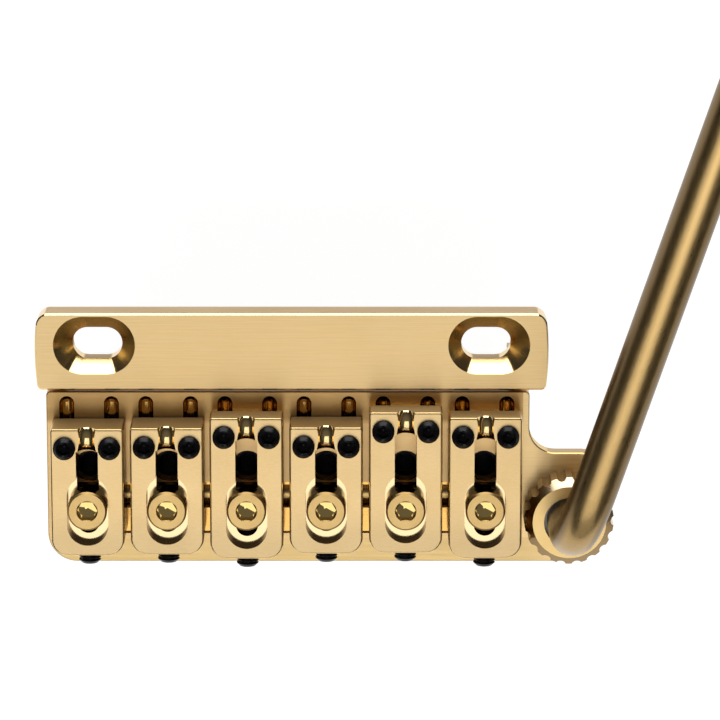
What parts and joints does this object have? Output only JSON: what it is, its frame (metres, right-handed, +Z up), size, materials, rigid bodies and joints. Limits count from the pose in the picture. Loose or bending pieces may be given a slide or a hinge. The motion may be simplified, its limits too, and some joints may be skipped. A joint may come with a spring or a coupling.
{
  "type": "guitar tremolo bridge",
  "caption": "Gold tremolo bridge for an electric guitar: a slotted front plate, a rocking base with sliding string saddles, a sustain block and a swinging arm.",
  "frame": {"origin": "midway between the two mounting slots, on the underside of the front plate", "axes": "+X towards the treble side and the arm, +Y towards the neck, +Z up out of the guitar's top"},
  "size_m": [0.1132, 0.1294, 0.0823],
  "materials": {
    "gold_plate": "satin gold, brushed lengthwise",
    "gold_saddle": "satin gold, finely linished",
    "gold_screw": "gold plated, bright",
    "gold_arm": "satin gold rod, brushed along its length",
    "black_screw": "black oxide",
    "block_steel": "blackened steel",
    "bright_steel": "bright turned steel",
    "bush_plastic": "natural white"
  },
  "bodies": {
    "frame": {"mounting_plate": "gold_plate", "pivot_axle": "bright_steel", "axle_clips": "bright_steel", "axle_spacers": "bright_steel", "bearing_inner_rings": "bright_steel"},
    "balls": {"bearing_balls": "bright_steel"},
    "rocker": {"base_plate": "gold_plate", "sustain_block": "block_steel", "block_screws": "bright_steel", "clamp_bar": "gold_screw", "bearing_outer_rings": "bright_steel", "arm_sleeve": "gold_screw", "sleeve_ring_nut": "gold_screw", "arm_bush": "bush_plastic", "clamp_screw_1": "gold_screw", "clamp_screw_2": "gold_screw", "clamp_screw_3": "gold_screw", "clamp_screw_4": "gold_screw", "clamp_screw_5": "gold_screw", "clamp_screw_6": "gold_screw"},
    "arm_body": {"arm": "gold_arm"},
    "collar": {"arm_collar": "gold_screw"},
    "saddle_body_1": {"saddle_1": "gold_saddle"},
    "height_body_1_bass": {"height_screw_1_bass": "black_screw"},
    "height_body_1_treble": {"height_screw_1_treble": "black_screw"},
    "intonation_body_1": {"intonation_screw_1": "black_screw"},
    "saddle_body_2": {"saddle_2": "gold_saddle"},
    "height_body_2_bass": {"height_screw_2_bass": "black_screw"},
    "height_body_2_treble": {"height_screw_2_treble": "black_screw"},
    "intonation_body_2": {"intonation_screw_2": "black_screw"},
    "saddle_body_3": {"saddle_3": "gold_saddle"},
    "height_body_3_bass": {"height_screw_3_bass": "black_screw"},
    "height_body_3_treble": {"height_screw_3_treble": "black_screw"},
    "intonation_body_3": {"intonation_screw_3": "black_screw"},
    "saddle_body_4": {"saddle_4": "gold_saddle"},
    "height_body_4_bass": {"height_screw_4_bass": "black_screw"},
    "height_body_4_treble": {"height_screw_4_treble": "black_screw"},
    "intonation_body_4": {"intonation_screw_4": "black_screw"},
    "saddle_body_5": {"saddle_5": "gold_saddle"},
    "height_body_5_bass": {"height_screw_5_bass": "black_screw"},
    "height_body_5_treble": {"height_screw_5_treble": "black_screw"},
    "intonation_body_5": {"intonation_screw_5": "black_screw"},
    "saddle_body_6": {"saddle_6": "gold_saddle"},
    "height_body_6_bass": {"height_screw_6_bass": "black_screw"},
    "height_body_6_treble": {"height_screw_6_treble": "black_screw"},
    "intonation_body_6": {"intonation_screw_6": "black_screw"}
  },
  "joints": [
    {"name": "tremolo", "type": "hinge", "parent": "frame", "child": "rocker", "pos_m": [0, -0.0095, -0.0042], "axis": [1, 0, 0], "range_deg": [-10, 3], "stiffness_Nm_per_rad": 5},
    {"name": "ball_roll", "type": "hinge", "parent": "frame", "child": "balls", "pos_m": [0, -0.0095, -0.0042], "axis": [1, 0, 0], "range_deg": [-6.5, 2.2]},
    {"name": "arm_swing", "type": "hinge", "parent": "rocker", "child": "arm_body", "pos_m": [0.0378, -0.0236, 0.004], "axis": [0, 0, 1], "range_deg": [-120, 75]},
    {"name": "collar_turn", "type": "hinge", "parent": "rocker", "child": "collar", "pos_m": [0.0378, -0.0236, 0.004], "axis": [0, 0, 1], "continuous": true},
    {"name": "saddle_slide_1", "type": "slide", "parent": "rocker", "child": "saddle_body_1", "axis": [0, 1, 0], "range_m": [-0.0017, 0.0009]},
    {"name": "height_1_bass", "type": "slide", "parent": "saddle_body_1", "child": "height_body_1_bass", "axis": [0, 0, 1], "range_m": [0, 0.001]},
    {"name": "height_1_treble", "type": "slide", "parent": "saddle_body_1", "child": "height_body_1_treble", "axis": [0, 0, 1], "range_m": [0, 0.001]},
    {"name": "intonation_1", "type": "slide", "parent": "saddle_body_1", "child": "intonation_body_1", "axis": [0, 1, 0], "range_m": [-0.0008, 0]},
    {"name": "saddle_slide_2", "type": "slide", "parent": "rocker", "child": "saddle_body_2", "axis": [0, 1, 0], "range_m": [-0.00185, 0.00076]},
    {"name": "height_2_bass", "type": "slide", "parent": "saddle_body_2", "child": "height_body_2_bass", "axis": [0, 0, 1], "range_m": [0, 0.001]},
    {"name": "height_2_treble", "type": "slide", "parent": "saddle_body_2", "child": "height_body_2_treble", "axis": [0, 0, 1], "range_m": [0, 0.001]},
    {"name": "intonation_2", "type": "slide", "parent": "saddle_body_2", "child": "intonation_body_2", "axis": [0, 1, 0], "range_m": [-0.0008, 0]},
    {"name": "saddle_slide_3", "type": "slide", "parent": "rocker", "child": "saddle_body_3", "axis": [0, 1, 0], "range_m": [-0.00125, 0.00135]},
    {"name": "height_3_bass", "type": "slide", "parent": "saddle_body_3", "child": "height_body_3_bass", "axis": [0, 0, 1], "range_m": [0, 0.001]},
    {"name": "height_3_treble", "type": "slide", "parent": "saddle_body_3", "child": "height_body_3_treble", "axis": [0, 0, 1], "range_m": [0, 0.001]},
    {"name": "intonation_3", "type": "slide", "parent": "saddle_body_3", "child": "intonation_body_3", "axis": [0, 1, 0], "range_m": [-0.0008, 0]},
    {"name": "saddle_slide_4", "type": "slide", "parent": "rocker", "child": "saddle_body_4", "axis": [0, 1, 0], "range_m": [-0.00195, 0.00065]},
    {"name": "height_4_bass", "type": "slide", "parent": "saddle_body_4", "child": "height_body_4_bass", "axis": [0, 0, 1], "range_m": [0, 0.001]},
    {"name": "height_4_treble", "type": "slide", "parent": "saddle_body_4", "child": "height_body_4_treble", "axis": [0, 0, 1], "range_m": [0, 0.001]},
    {"name": "intonation_4", "type": "slide", "parent": "saddle_body_4", "child": "intonation_body_4", "axis": [0, 1, 0], "range_m": [-0.0008, 0]},
    {"name": "saddle_slide_5", "type": "slide", "parent": "rocker", "child": "saddle_body_5", "axis": [0, 1, 0], "range_m": [-0.00205, 0.00055]},
    {"name": "height_5_bass", "type": "slide", "parent": "saddle_body_5", "child": "height_body_5_bass", "axis": [0, 0, 1], "range_m": [0, 0.001]},
    {"name": "height_5_treble", "type": "slide", "parent": "saddle_body_5", "child": "height_body_5_treble", "axis": [0, 0, 1], "range_m": [0, 0.001]},
    {"name": "intonation_5", "type": "slide", "parent": "saddle_body_5", "child": "intonation_body_5", "axis": [0, 1, 0], "range_m": [-0.0008, 0]},
    {"name": "saddle_slide_6", "type": "slide", "parent": "rocker", "child": "saddle_body_6", "axis": [0, 1, 0], "range_m": [-0.0013, 0.0013]},
    {"name": "height_6_bass", "type": "slide", "parent": "saddle_body_6", "child": "height_body_6_bass", "axis": [0, 0, 1], "range_m": [0, 0.001]},
    {"name": "height_6_treble", "type": "slide", "parent": "saddle_body_6", "child": "height_body_6_treble", "axis": [0, 0, 1], "range_m": [0, 0.001]},
    {"name": "intonation_6", "type": "slide", "parent": "saddle_body_6", "child": "intonation_body_6", "axis": [0, 1, 0], "range_m": [-0.0008, 0]}
  ],
  "couplings": [
    {"joint": "ball_roll", "follows": "tremolo", "ratio": 0.6}
  ]
}
